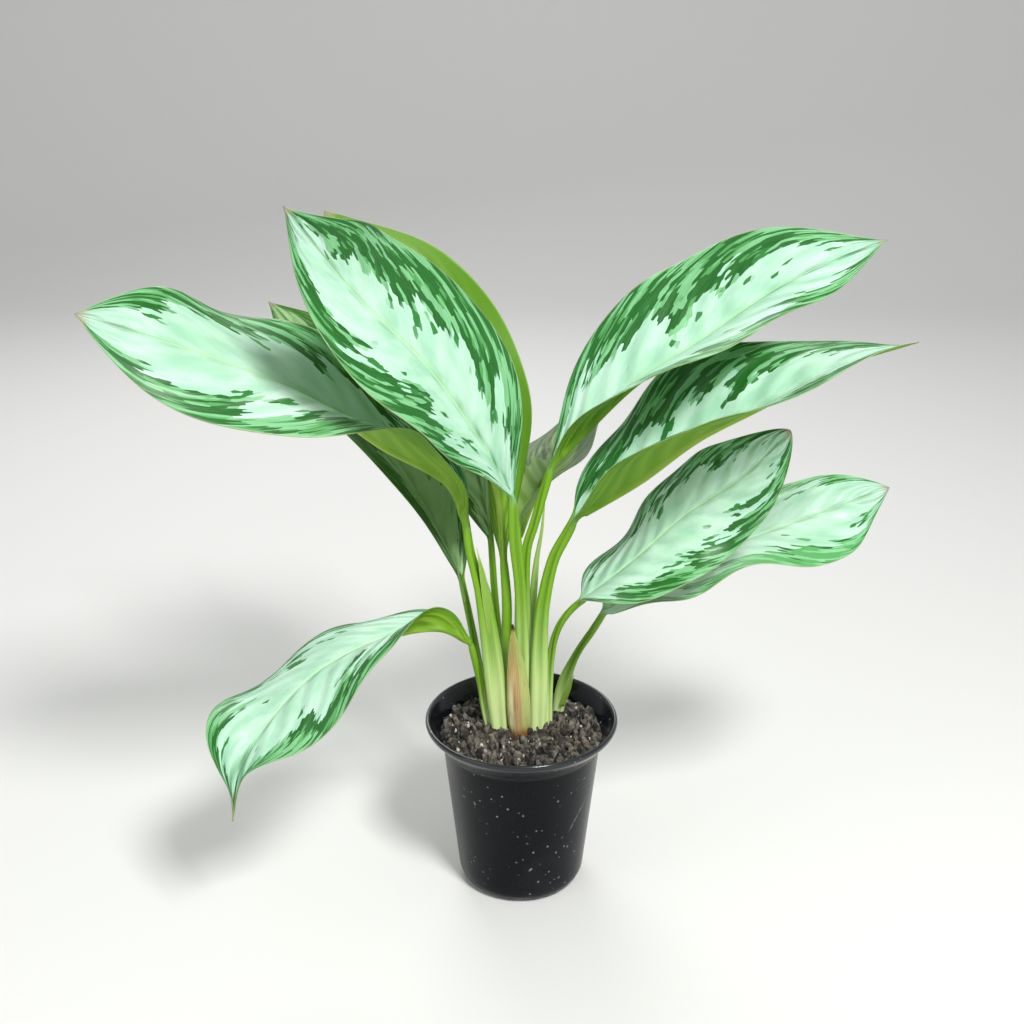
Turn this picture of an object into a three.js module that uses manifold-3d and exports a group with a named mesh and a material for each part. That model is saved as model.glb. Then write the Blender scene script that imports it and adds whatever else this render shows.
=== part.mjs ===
// Potted silver bay aglaonema, in millimetres, +Z up, front towards -Y.
// The middle of the pot's underside stands at the origin.
import * as THREE from 'three';
import { mergeVertices } from 'three/addons/utils/BufferGeometryUtils.js';
import Module from 'manifold-3d';

const wasm = await Module();
wasm.setup();
const { Manifold, Mesh } = wasm;

// Sizes of the pot and of what fills it
const RIM_RADIUS = 60;
const POT_HEIGHT = 113.5;
const FLOOR = 1.6;
const GAP = 0.3;
const DRAIN_COUNT = 6;
const DRAIN_RADIUS = 3.5;
const DRAIN_CIRCLE = 24;
const SOIL_LEVEL = 104;
const CLUMP = { x: -1.2, y: 1.5, rx: 23, ry: 14, floor: 79 };
const OFFSHOOT = { x: 23.5, y: 23, r: 5, floor: 90 };
const CROWN_TOP = 96;

// How finely round and wavy forms are cut
const SIDES = 44;
const STALK_RINGS = 8;
const BLADE_RINGS = 16;
const ROW = 9;

// Leaves: thickness of the blade, and the midrib's radius at the tip
const BLADE = 0.8;
const TIP_RIB = 0.45;

// A seeded draw, the same on every run
function draws(seed) {
  let state = seed;
  return () => {
    state = (state * 1664525 + 1013904223) % 4294967296;
    return state / 4294967296;
  };
}

// A value along a piece from a few values spread evenly over it, without corners
function blend(values, s) {
  const last = values.length - 1;
  const i = Math.min(Math.floor(s * last), last - 1);
  const f = s * last - i;
  const at = (k) => values[Math.max(0, Math.min(last, k))];
  const [a, b, c, d] = [at(i - 1), at(i), at(i + 1), at(i + 2)];
  return b + 0.5 * f * (c - a + f * (2 * a - 5 * b + 4 * c - d + f * (3 * (b - c) + d - a)));
}

// A closed body from rings with equal numbers of points, capped at both ends
function loft(rings) {
  const n = rings[0].length;
  const points = rings.flat();
  const faces = [];
  for (let i = 0; i + 1 < rings.length; i += 1) {
    for (let j = 0; j < n; j += 1) {
      const a = i * n + j;
      const b = i * n + ((j + 1) % n);
      // both faces of a blade are cut along the same diagonals
      if (j < n / 2) {
        faces.push(a, b, a + n, b, b + n, a + n);
      } else {
        faces.push(a, b, b + n, a, b + n, a + n);
      }
    }
  }
  for (const [start, flip] of [[0, true], [(rings.length - 1) * n, false]]) {
    const middle = new THREE.Vector3();
    for (let j = 0; j < n; j += 1) {
      middle.addScaledVector(points[start + j], 1 / n);
    }
    points.push(middle);
    const m = points.length - 1;
    for (let j = 0; j < n; j += 1) {
      const a = start + j;
      const b = start + ((j + 1) % n);
      faces.push(...(flip ? [m, b, a] : [m, a, b]));
    }
  }
  const geometry = new THREE.BufferGeometry();
  geometry.setAttribute('position', new THREE.BufferAttribute(
    new Float32Array(points.flatMap((p) => [p.x, p.y, p.z])), 3));
  geometry.setIndex(faces);
  return geometry;
}

// Between a plain geometry and a solid that can be joined or cut
function solid(geometry) {
  const bare = new THREE.BufferGeometry();
  bare.setAttribute('position', geometry.getAttribute('position'));
  if (geometry.index) {
    bare.setIndex(geometry.index);
  }
  const welded = mergeVertices(bare, 1e-4);
  const mesh = new Mesh({
    numProp: 3,
    vertProperties: new Float32Array(welded.getAttribute('position').array),
    triVerts: new Uint32Array(welded.index.array),
  });
  mesh.merge();
  return new Manifold(mesh);
}

function geometryOf(body) {
  const mesh = body.getMesh();
  const geometry = new THREE.BufferGeometry();
  geometry.setAttribute('position', new THREE.BufferAttribute(
    new Float32Array(mesh.vertProperties), 3));
  geometry.setIndex(Array.from(mesh.triVerts));
  return geometry;
}

// An upright round or oval column, for holes and for the crown
function column(x, y, rx, ry, bottom, top, sides) {
  const geometry = new THREE.CylinderGeometry(1, 1, top - bottom, sides);
  geometry.rotateX(Math.PI / 2);
  geometry.scale(rx, ry, 1);
  geometry.translate(x, y, (top + bottom) / 2);
  return solid(geometry);
}

const root = new THREE.Group();
root.name = 'potted_silver_bay_aglaonema';

function add(name, geometry, color, roughness, metalness = 0) {
  const flat = geometry.index ? geometry.toNonIndexed() : geometry;
  flat.computeVertexNormals();
  const material = new THREE.MeshStandardMaterial({ color, roughness, metalness });
  const mesh = new THREE.Mesh(flat, material);
  mesh.name = name;
  root.add(mesh);
}

// Pot: a tapered shell with a flared lip, rounded bottom edge and drainage holes
const POT_OUTSIDE = [
  [0, 0], [31, 0], [35.2, 1.1], [38.2, 3.8], [39.9, 8], [40.6, 14],
  [49.2, 96], [50.6, 99.3], [54.6, 104.2], [58.8, 109],
  [RIM_RADIUS, 111.6], [59.2, POT_HEIGHT],
];
const POT_INSIDE = [
  [57.8, POT_HEIGHT], [56.9, 111], [52.8, 105.2], [49.3, 100.4], [48, 96],
  [39.4, 14], [38.7, 8.4], [37.2, 4.8], [34.8, 2.5], [31, FLOOR], [0, FLOOR],
];
const potProfile = [...POT_OUTSIDE, ...POT_INSIDE].map(([r, z]) => new THREE.Vector2(r, z));
const potTurned = new THREE.LatheGeometry([...potProfile, potProfile[0].clone()], SIDES);
potTurned.rotateX(Math.PI / 2);
let pot = solid(potTurned);
if (pot.volume() < 0) {
  potTurned.scale(1, -1, 1);
  pot = solid(potTurned);
}
for (let k = 0; k < DRAIN_COUNT; k += 1) {
  const angle = ((k + 0.5) / DRAIN_COUNT) * 2 * Math.PI;
  const x = DRAIN_CIRCLE * Math.cos(angle);
  const y = DRAIN_CIRCLE * Math.sin(angle);
  pot = pot.subtract(column(x, y, DRAIN_RADIUS, DRAIN_RADIUS, -1, FLOOR + 1, 12));
}
add('pot', geometryOf(pot), 0x1c2128, 0.32);

// Soil: fills the pot, with lumps raised on its top by a seeded formula
const random = draws(11);
const LUMPS = [];
for (let k = 0; k < 46; k += 1) {
  const r = 49 * Math.sqrt(random());
  const a = random() * 2 * Math.PI;
  LUMPS.push({
    x: r * Math.cos(a),
    y: r * Math.sin(a),
    size: 3 + 3.5 * random(),
    height: 0.8 + 2 * random(),
  });
}
function soilTop(x, y) {
  let z = SOIL_LEVEL;
  for (const lump of LUMPS) {
    const d = Math.hypot(x - lump.x, y - lump.y) / lump.size;
    z += lump.height * Math.exp(-1.4 * d * d);
  }
  return z;
}
const soilRings = [];
const SOIL_SIDE = [
  [30, 1.9], [34.3, 3], [36.7, 5.2], [38.3, 8.6], [39.1, 14.2], [47.6, 96], [48.5, 99.6],
];
for (const [r, z] of SOIL_SIDE) {
  soilRings.push([r, () => z]);
}
for (const r of [50.3, 46.5, 42, 37.5, 33, 28.5, 24, 19, 13, 6]) {
  soilRings.push([r, (x, y) => soilTop(x, y) - (r > 50 ? 1.2 : 0)]);
}
const soilBody = loft(soilRings.map(([r, height]) => {
  const ring = [];
  for (let j = 0; j < SIDES; j += 1) {
    const a = (j / SIDES) * 2 * Math.PI;
    const x = r * Math.cos(a);
    const y = r * Math.sin(a);
    ring.push(new THREE.Vector3(x, y, height(x, y)));
  }
  return ring;
}));
let soil = solid(soilBody);
soil = soil.subtract(column(CLUMP.x, CLUMP.y, CLUMP.rx, CLUMP.ry, CLUMP.floor, 120, 36));
soil = soil.subtract(column(OFFSHOOT.x, OFFSHOOT.y, OFFSHOOT.r, OFFSHOOT.r, OFFSHOOT.floor, 120, 16));
add('soil', geometryOf(soil), 0x3b352f, 0.95);

// Crown: the short buried stem stock that the leaf stalks grow from
const crownShape = [[0.86, 0], [0.97, 0.16], [0.97, 0.8], [0.88, 1]];
const crownBottom = CLUMP.floor + GAP;
add('crown', loft(crownShape.map(([k, h]) => {
  const ring = [];
  for (let j = 0; j < 28; j += 1) {
    const a = (j / 28) * 2 * Math.PI;
    ring.push(new THREE.Vector3(
      CLUMP.x + k * CLUMP.rx * Math.cos(a),
      CLUMP.y + k * CLUMP.ry * Math.sin(a),
      crownBottom + h * (CROWN_TOP - crownBottom)));
  }
  return ring;
})), 0x7a5a32, 0.85);

// Points and directions at even steps along a smooth line
function along(points, shares) {
  const places = points.map((p) => new THREE.Vector3(...p));
  const curve = new THREE.CatmullRomCurve3(places, false, 'centripetal');
  curve.arcLengthDivisions = 240;
  return shares.map((s) => ({ s, at: curve.getPointAt(s), ahead: curve.getTangentAt(s) }));
}

// The sideways and upper-face directions at a point of the line
function frame(station, face) {
  const up = face.clone().addScaledVector(station.ahead, -face.dot(station.ahead)).normalize();
  const side = new THREE.Vector3().crossVectors(station.ahead, up);
  return { up, side };
}

// Even angles round an oval section: ROW points over the top, then ROW back below
const SWEEP = [];
for (let j = 0; j < ROW; j += 1) {
  const a = (Math.PI * (j + 0.5)) / ROW;
  SWEEP.push([-Math.cos(a), Math.sin(a)]);
}

function ovalRing(station, face, wide, thick, lean) {
  const { up, side } = frame(station, face);
  const place = (x, z) => station.at.clone().addScaledVector(side, x).addScaledVector(up, z);
  const top = SWEEP.map(([c, s]) => place(lean + c * wide, s * thick));
  const below = SWEEP.map(([c, s]) => place(lean + c * wide, -s * thick));
  return [...top, ...below.reverse()];
}

// Share of the half blade that each point of a row lies out at
const SPREAD = [1, 0.72, 0.38, 0, 0, 0, 0.38, 0.72, 1];

function bladeRing(station, face, leaf) {
  const { s } = station;
  const { up, side } = frame(station, face);
  const a = (1.2 * leaf.peak) / (1 - leaf.peak);
  const shape = (s ** a * (1 - s) ** 1.2) / (leaf.peak ** a * (1 - leaf.peak) ** 1.2);
  const width = leaf.width * shape ** leaf.full;
  const rib = leaf.rib_radius * (1 - s) + TIP_RIB * s;
  const flat = Math.min(1, width / 6);
  const row = (under) => SPREAD.map((k, j) => {
    const way = j < ROW / 2 ? 'left' : 'right';
    const sign = way === 'left' ? -1 : 1;
    const fold = (blend(leaf.fold[way], s) * Math.PI) / 180;
    const curl = (blend(leaf.curl[way], s) * Math.PI) / 180 || 1e-3;
    const turn = j === 4 ? 0 : (k ? fold + curl * k : fold * 0.5);
    const wide = width * leaf[way];
    const ripple = leaf.wave.depth * k * k * Math.sin(Math.PI * s)
      * Math.sin(2 * Math.PI * (leaf.wave.count * s + leaf.wave[way]));
    const out = (wide * (Math.sin(fold + curl * k) - Math.sin(fold))) / curl;
    const lift = (wide * (Math.cos(fold) - Math.cos(fold + curl * k))) / curl;
    const [c, h] = SWEEP[j];
    const round = rib * h;
    const half = under && k === 0 ? round : BLADE / 2;
    const depth = (under ? -1 : 1) * ((1 - flat) * round + flat * half) + ripple;
    const x = sign * (out - depth * Math.sin(turn)) + rib * c * Math.cos(turn);
    const z = lift + depth * Math.cos(turn) + rib * Math.abs(c) * Math.sin(turn);
    return station.at.clone().addScaledVector(side, x).addScaledVector(up, z);
  });
  return [...row(false), ...row(true).reverse()];
}

// A leaf in one piece: the stalk with its sheath and level foot, then the waved blade
function leafBody(leaf) {
  const faces = leaf.face.map((f) => new THREE.Vector3(...f).normalize());
  const faceAt = (s) => new THREE.Vector3(...['x', 'y', 'z'].map((k) => blend(faces.map((f) => f[k]), s)));
  const foot = new THREE.Vector3(...leaf.foot_face);
  const stalkShares = Array.from({ length: STALK_RINGS }, (_, i) => i / STALK_RINGS);
  const stations = along(leaf.stalk, stalkShares);
  stations[0].ahead.set(0, 0, 1);
  const rings = stations.map((station) => ovalRing(
    station, foot.clone().lerp(faces[0], station.s ** 2),
    blend(leaf.wide, station.s), blend(leaf.thick, station.s), blend(leaf.lean, station.s)));
  const bladeShares = Array.from({ length: BLADE_RINGS + 1 }, (_, i) => {
    const u = i / BLADE_RINGS;
    return u - 0.06 * Math.sin(2 * Math.PI * u);
  });
  for (const station of along(leaf.blade, bladeShares)) {
    rings.push(bladeRing(station, faceAt(station.s), leaf));
  }
  return loft(rings);
}

// Every leaf, as it stands in the pot. stalk and blade: points of the middle line.
// face: where the upper face looks at the blade's base, middle and tip.
// fold: degrees that each half is folded up at the midrib; curl: how it bends on, outwards.
const LEAVES = {
  // the big leaf in front, leaning left with its face to the viewer
  leaf_front_large: {
    stalk: [
      [-1.5, -3.5, 96.3], [-1, -4, 134], [0, -5.5, 165], [-1, -7, 203], [-4, -10.5, 237],
      [-6, -14, 265],
    ],
    foot_face: [0, -1, 0],
    wide: [5.6, 5.6, 4.8, 3.8, 3.5, 4, 3.2],
    thick: [2.6, 2.6, 2.6, 2.6, 2.6, 2.6, 2.4],
    lean: [0, 0],
    blade: [[-6, -14, 265], [-25, -26, 305], [-51, -46, 351], [-85, -71, 396], [-112, -102, 443]],
    face: [[0.7, -0.7, 0.2], [0.9, -0.6, 0.3], [0.6, -0.7, -0.2]],
    width: 47, left: 0.95, right: 1.1, peak: 0.51, full: 1.05, rib_radius: 2.6,
    wave: { depth: 2, count: 2.8, left: 0.07, right: 0.64 },
    fold: { left: [36, 24, 22, 6], right: [46, 28, 0, 22] },
    curl: { left: [-8, -18, -14], right: [-6, -20, -14] },
    color: 0xb5e2c8,
  },
  // the long leaf that reaches furthest left, near half folded up at its base
  leaf_left_long: {
    stalk: [
      [-13, -2.5, 96.3], [-15, -3, 122], [-17, -3.5, 145], [-20, -4, 170], [-25, -4, 200],
      [-31, -3, 228], [-33, -3, 244],
    ],
    foot_face: [0, -1, 0],
    wide: [4.8, 5.9, 6.4, 6.1, 5.5, 5, 3, 2.9],
    thick: [3.6, 3.8, 3.8, 3.6, 3.4, 3, 2.8, 2.8],
    lean: [0, 0.2, 0.3, 0.4, 0.8, 1.6, 0, 0],
    blade: [
      [-33, -3, 244], [-42, -10, 271], [-79, -23, 299], [-116, -40, 333], [-166, -67, 364],
      [-217, -96, 391],
    ],
    face: [[0.9, -0.3, 0.2], [0.7, -0.3, 0.7], [0.6, -0.6, 0.5]],
    width: 46, left: 1.04, right: 1.01, peak: 0.58, full: 0.85, rib_radius: 2.7,
    wave: { depth: 6.2, count: 2.4, left: 0.59, right: 0.05 },
    fold: { left: [86, 64, 10, 4], right: [36, 20, 0, 20] },
    curl: { left: [-10, -12, -10], right: [-10, -12, -18] },
    color: 0xaedcc0,
  },
  // behind and below the long left leaf
  leaf_left_back: {
    stalk: [[-15, 6.5, 96.3], [-19, 7.5, 115], [-24.5, 9.5, 134], [-31, 12, 170], [-37, 18, 199]],
    foot_face: [0, -1, 0],
    wide: [2.7, 2.7, 2.5, 2.3, 2.2],
    thick: [2.6, 2.5, 2.4, 2.2, 2.1],
    lean: [0, 0],
    blade: [[-37, 18, 199], [-56, 33, 236], [-85, 57, 275], [-120, 84, 315], [-161, 112, 350]],
    face: [[0.7, -0.5, 0.5], [0.5, -0.4, 0.7], [-0.1, -0.8, 0.6]],
    width: 39, left: 0.97, right: 1.04, peak: 0.47, full: 0.96, rib_radius: 2.1,
    wave: { depth: 2.4, count: 2.1, left: 0.07, right: 0.55 },
    fold: { left: [32, 32, 12, 18], right: [30, 20, 22, 18] },
    curl: { left: [-8, -10, -12], right: [-12, -10, -10] },
    color: 0x9fd0b0,
  },
  // the young leaf behind the big one, its underside turned outwards
  leaf_centre_young: {
    stalk: [[-6.3, 2.6, 96.3], [-7.6, 2.7, 120], [-9.4, 2.1, 160], [-9, 0.9, 190], [-11, 1, 221]],
    foot_face: [0, 1, 0],
    wide: [3, 3.2, 3.2, 3, 2.6],
    thick: [2.8, 2.8, 2.8, 2.6, 2.4],
    lean: [0, 0],
    blade: [[-11, 1, 221], [-16, 3, 267], [-38, 5, 320], [-68, 8, 374], [-109, 12, 423]],
    face: [[0, 1, 0], [0.3, 1, 0.1], [-0.3, 0.9, -0.4]],
    width: 40.5, left: 1.05, right: 0.98, peak: 0.55, full: 0.83, rib_radius: 2.4,
    wave: { depth: 5.3, count: 2.6, left: 0.81, right: 0.76 },
    fold: { left: [52, 38, 22, 20], right: [48, 64, 22, 20] },
    curl: { left: [0, -2, -10], right: [4, -2, -14] },
    color: 0xa9d67a,
  },
  // behind the young leaf, leaning back and left
  leaf_back_left: {
    stalk: [[-8, 10.5, 96.3], [-10, 12, 125], [-13, 16, 150], [-16, 22, 178], [-19, 31, 221]],
    foot_face: [0, -1, 0],
    wide: [2.7, 2.6, 2.4, 2.2, 2.1],
    thick: [2.6, 2.5, 2.3, 2.2, 2],
    lean: [0, 0],
    blade: [[-19, 31, 221], [-25, 45, 252], [-35, 64, 290], [-50, 84, 327], [-70, 102, 362]],
    face: [[-0.4, -0.9, 0.2], [-0.4, -0.9, 0.3], [0.1, -0.8, 0.6]],
    width: 30, left: 0.96, right: 1, peak: 0.51, full: 0.85, rib_radius: 2,
    wave: { depth: 3.7, count: 2.8, left: 0.29, right: 0.79 },
    fold: { left: [34, 24, 20, 16], right: [36, 46, 18, 16] },
    curl: { left: [-14, -12, -12], right: [-6, -6, -12] },
    color: 0x9fd0b0,
  },
  // low on the left, arching over and hanging below the rim
  leaf_low_drooping: {
    stalk: [[-18.5, 2, 96.3], [-22.5, 1.5, 116], [-25, 1, 134], [-29, -1, 155], [-31, -2, 165]],
    foot_face: [0, -1, 0],
    wide: [2.7, 2.6, 2.5, 2.4, 2.3],
    thick: [2.6, 2.5, 2.4, 2.3, 2.2],
    lean: [0, 0],
    blade: [
      [-31, -2, 165], [-49, -9, 178], [-84, -23, 178], [-119, -38, 165], [-146, -59, 143],
      [-161, -77, 121], [-163, -96, 101],
    ],
    face: [[0.5, 0.5, 0.7], [-0.4, -0.3, 0.9], [0, -0.7, 0.6]],
    width: 38, left: 0.96, right: 1.09, peak: 0.53, full: 0.88, rib_radius: 2.2,
    wave: { depth: 5.1, count: 2.1, left: 0.3, right: 0.31 },
    fold: { left: [108, 24, 10, 70], right: [66, 12, 2, 86] },
    curl: { left: [-4, -34, 18], right: [-10, -32, 24] },
    color: 0xaedcc0,
  },
  // at the back, leaning away to the right
  leaf_back_right: {
    stalk: [[-1, 11.5, 96.3], [-2, 12.5, 142], [-2, 15, 172], [-2, 18, 200], [-2, 22, 223]],
    foot_face: [0, -1, 0],
    wide: [2.7, 2.6, 2.4, 2.2, 2.1],
    thick: [2.6, 2.5, 2.3, 2.2, 2],
    lean: [0, 0],
    blade: [[-2, 22, 223], [7, 43, 239], [22, 71, 255], [40, 101, 269], [58, 132, 284]],
    face: [[-0.7, -0.2, 0.7], [-0.5, -0.2, 0.9], [-0.2, -0.3, 0.9]],
    width: 32, left: 0.99, right: 1, peak: 0.37, full: 0.84, rib_radius: 2,
    wave: { depth: 1.4, count: 2.2, left: 0.17, right: 0.65 },
    fold: { left: [36, 30, 14, 18], right: [56, 18, 32, 20] },
    curl: { left: [-12, -16, -14], right: [-4, -12, -12] },
    color: 0x9fd0b0,
  },
  // the topmost leaf on the right
  leaf_right_top: {
    stalk: [
      [4, 4.5, 96.3], [4, 4.5, 129], [3, 4.5, 164], [2, 4, 200], [3, 3.5, 226], [7, 4, 240],
      [13.5, 5, 264], [18, 6, 278],
    ],
    foot_face: [0, -1, 0],
    wide: [3, 3, 3, 3, 2.9, 2.8],
    thick: [2.8, 2.8, 2.7, 2.7, 2.7, 2.7],
    lean: [0, 0],
    blade: [[18, 6, 278], [36, 5, 298], [65, 6, 327], [102, 5, 353], [148, 4, 386], [199, 2, 409]],
    face: [[-0.6, -0.6, 0.5], [-0.4, -0.6, 0.6], [-0.3, -0.8, 0.5]],
    width: 48.5, left: 1.03, right: 1.01, peak: 0.49, full: 1.06, rib_radius: 2.7,
    wave: { depth: 1.9, count: 3.1, left: 0.94, right: 0 },
    fold: { left: [26, 16, 10, 18], right: [88, 58, 48, 12] },
    curl: { left: [-6, -8, -6], right: [-6, -14, -8] },
    color: 0xb5e2c8,
  },
  // the second leaf on the right, with a long tail
  leaf_right_upper: {
    stalk: [
      [10.2, -1.5, 96.3], [11, -1.5, 132], [11.5, -2, 167], [13, -2.5, 191], [19, -3, 222],
      [26, -4, 237], [32, -4, 249],
    ],
    foot_face: [0, -1, 0],
    wide: [4.9, 5.4, 5.1, 4.2, 3.6, 3.4],
    thick: [3.4, 3.6, 3.4, 3.2, 3, 3],
    lean: [-0.2, -0.4, -0.4, -0.2, 0, 0],
    blade: [
      [32, -4, 249], [67, -12, 274], [98, -21, 302], [132, -34, 326], [165, -48, 351], [202, -64, 369],
    ],
    face: [[-0.5, -0.7, 0.4], [-0.6, -0.6, 0.5], [-0.2, 0.2, 1]],
    width: 43, left: 1, right: 1, peak: 0.41, full: 0.72, rib_radius: 3,
    wave: { depth: 7.2, count: 2.1, left: 0.3, right: 0.01 },
    fold: { left: [16, 8, 18, -2], right: [84, 96, 42, 18] },
    curl: { left: [-36, -2, -18], right: [-22, -12, -12] },
    color: 0xaedcc0,
  },
  // the short broad leaf lower on the right
  leaf_right_lower: {
    stalk: [
      [16.8, 3.5, 96.3], [17, 3.5, 130], [18, 3, 152], [20, 2, 166], [24, 0, 178], [31, -2, 189],
      [37, -4, 195],
    ],
    foot_face: [0, -1, 0],
    wide: [2.7, 2.6, 2.5, 2.3, 2.2],
    thick: [2.6, 2.5, 2.4, 2.2, 2.1],
    lean: [0, 0],
    blade: [[37, -4, 195], [66, -8, 223], [94, -11, 252], [124, -18, 278], [149, -23, 308]],
    face: [[-0.7, 0, 0.8], [-0.5, -0.6, 0.5], [-0.5, -0.8, 0.2]],
    width: 35.5, left: 0.97, right: 1.05, peak: 0.35, full: 0.6, rib_radius: 2.1,
    wave: { depth: 5.8, count: 2.1, left: 0.53, right: 0.39 },
    fold: { left: [30, -12, 16, 8], right: [30, 8, 0, 8] },
    curl: { left: [-18, -20, -18], right: [-6, -20, -20] },
    color: 0xb5e2c8,
  },
  // the lowest leaf on the right, on an offshoot of its own
  leaf_right_lowest: {
    stalk: [
      [22.5, 23, 90.3], [25.7, 22, 119], [29.6, 21, 134], [35, 20, 147], [44.6, 18, 164],
      [51, 16, 177],
    ],
    foot_face: [0, -1, 0],
    wide: [3.6, 3.9, 3.9, 2.5, 2.4, 2.4],
    thick: [3.4, 3.5, 3.3, 2.4, 2.3, 2.3],
    lean: [0, 0, 0.4, 0, 0],
    blade: [[51, 16, 177], [83, 19, 198], [127, 21, 219], [175, 27, 236], [225, 36, 252]],
    face: [[-0.5, -0.2, 0.8], [-0.4, -0.1, 1], [0, -0.8, 0.4]],
    width: 46, left: 0.96, right: 1.14, peak: 0.43, full: 0.78, rib_radius: 2.3,
    wave: { depth: 4.1, count: 2.8, left: 0.62, right: 0.98 },
    fold: { left: [20, 16, 6, 4], right: [24, 16, 18, -6] },
    curl: { left: [-12, -16, -18], right: [-4, -16, -20] },
    color: 0xaedcc0,
  },
};
for (const [name, leaf] of Object.entries(LEAVES)) {
  add(name, leafBody(leaf), leaf.color, 0.45);
}

// The newest leaf, still rolled in its pointed sheath
const SPEAR = {
  line: [
    [6, 11, 96.3], [6, 11, 125], [6.5, 11, 160], [7.2, 11, 191], [9, 12, 214], [12, 13, 233],
    [13.5, 14, 251],
  ],
  wide: [2.4, 2.6, 2.7, 2.5, 2.2, 1.2, 0.5],
  thick: [2.3, 2.4, 2.4, 2.2, 1.9, 1, 0.5],
};
const spearShares = Array.from({ length: 11 }, (_, i) => i / 10);
add('new_leaf_spear', loft(along(SPEAR.line, spearShares).map((station) => ovalRing(
  station, new THREE.Vector3(0, -1, 0), blend(SPEAR.wide, station.s), blend(SPEAR.thick, station.s), 0))),
0xb9d98a, 0.45);

// The dry sheath of a lost leaf: a thin shell bent round the front of the stalks
const SHEATH = {
  line: [
    [-0.4, -9.3, 96.6], [-1.2, -9.8, 112], [-2, -10.2, 130], [-3.1, -10.4, 150], [-4.7, -10.6, 168],
    [-5.5, -11, 182],
  ],
  half: [6.2, 8, 7.9, 6.4, 3.6, 0.6],
  bend: [58, 50, 48, 44, 34, 6],
  thick: 1,
};
const sheathShares = Array.from({ length: 10 }, (_, i) => i / 9);
add('dry_sheath', loft(along(SHEATH.line, sheathShares).map((station) => {
  const { up, side } = frame(station, new THREE.Vector3(0, -1, 0));
  const angle = (blend(SHEATH.bend, station.s) * Math.PI) / 180;
  const radius = blend(SHEATH.half, station.s) / angle;
  const row = (depth) => SWEEP.map(([c]) => {
    const a = c * angle;
    const x = (radius + depth) * Math.sin(a);
    const z = (radius + depth) * Math.cos(a) - radius;
    return station.at.clone().addScaledVector(side, x).addScaledVector(up, z);
  });
  return [...row(SHEATH.thick / 2), ...row(-SHEATH.thick / 2).reverse()];
})), 0xcfb58c, 0.8);

export default root;
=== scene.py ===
# %% [markdown]
# # A potted silver bay aglaonema
# A young foliage plant in its black nursery pot. The solids that carry the weight and the
# collisions are already packed, so this script only dresses them: it loads them as a frame,
# stands a finer piece in the place of each one but the crown, and gives every piece its finish.

# %% Load the frame
import math
import random

import bmesh
import bpy
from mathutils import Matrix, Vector, noise


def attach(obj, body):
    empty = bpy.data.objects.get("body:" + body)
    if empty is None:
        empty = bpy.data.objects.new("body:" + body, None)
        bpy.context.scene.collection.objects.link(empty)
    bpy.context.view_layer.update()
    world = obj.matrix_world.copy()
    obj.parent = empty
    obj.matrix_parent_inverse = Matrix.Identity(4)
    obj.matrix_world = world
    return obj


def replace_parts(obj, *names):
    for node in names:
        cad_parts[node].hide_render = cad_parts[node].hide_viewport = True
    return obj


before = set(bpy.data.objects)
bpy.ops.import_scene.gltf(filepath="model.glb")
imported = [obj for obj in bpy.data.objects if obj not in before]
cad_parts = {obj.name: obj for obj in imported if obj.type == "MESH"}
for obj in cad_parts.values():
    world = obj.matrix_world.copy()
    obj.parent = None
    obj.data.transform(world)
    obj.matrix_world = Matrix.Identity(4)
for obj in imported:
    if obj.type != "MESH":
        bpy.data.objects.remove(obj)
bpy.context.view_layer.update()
print("solids:", len(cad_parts))

# %% [markdown]
# ## Camera
# The plant is seen with a normal lens from about three quarters of a metre in front and half a
# metre up. From there the camera looks down a little, so the pot's rim shows as an ellipse and
# some soil can be seen behind it.

# %% Camera
MM = 0.001
EYE = (-5.9, -735, 541)
LOOK_DOWN = 21.59
LENS = 47.285
SENSOR = 36

camera = bpy.data.objects.new("camera", bpy.data.cameras.new("camera"))
bpy.context.scene.collection.objects.link(camera)
camera.location = Vector(EYE) * MM
camera.rotation_euler = (math.radians(90 - LOOK_DOWN), 0, 0)
camera.data.lens = LENS
camera.data.sensor_width = SENSOR
bpy.context.scene.camera = camera
print("camera height:", round(camera.location.z, 3))

# %% [markdown]
# ## Floor and light
# A pale floor that sweeps up into a wall has no horizon line, so nothing competes with the
# leaves. It starts as a flat grid whose rear edge is extruded in small turns. The main lamp
# stands high on the right in front, as the sun did, and is small enough to leave some edge on
# its shadows. A wide weak one fills from the left, and a third lifts the leaves from behind.

# %% Floor
def colour(code, alpha=1.0):
    """A colour written as on the web, turned into the linear numbers that shaders use."""
    parts = [(code >> shift & 255) / 255 for shift in (16, 8, 0)]
    linear = [p / 12.92 if p < 0.04045 else ((p + 0.055) / 1.055) ** 2.4 for p in parts]
    return (*linear, alpha)


def object_from(bm, name, materials=()):
    """Turns a finished bmesh into a named object at the origin."""
    mesh = bpy.data.meshes.new(name)
    bm.to_mesh(mesh)
    bm.free()
    for material in materials:
        mesh.materials.append(material)
    made = bpy.data.objects.new(name, mesh)
    bpy.context.scene.collection.objects.link(made)
    return made


FLOOR_HALF = 1.6
WALL_BEND = 0.8
WALL_RISE = 1.5
BEND_STEPS = 12

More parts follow.
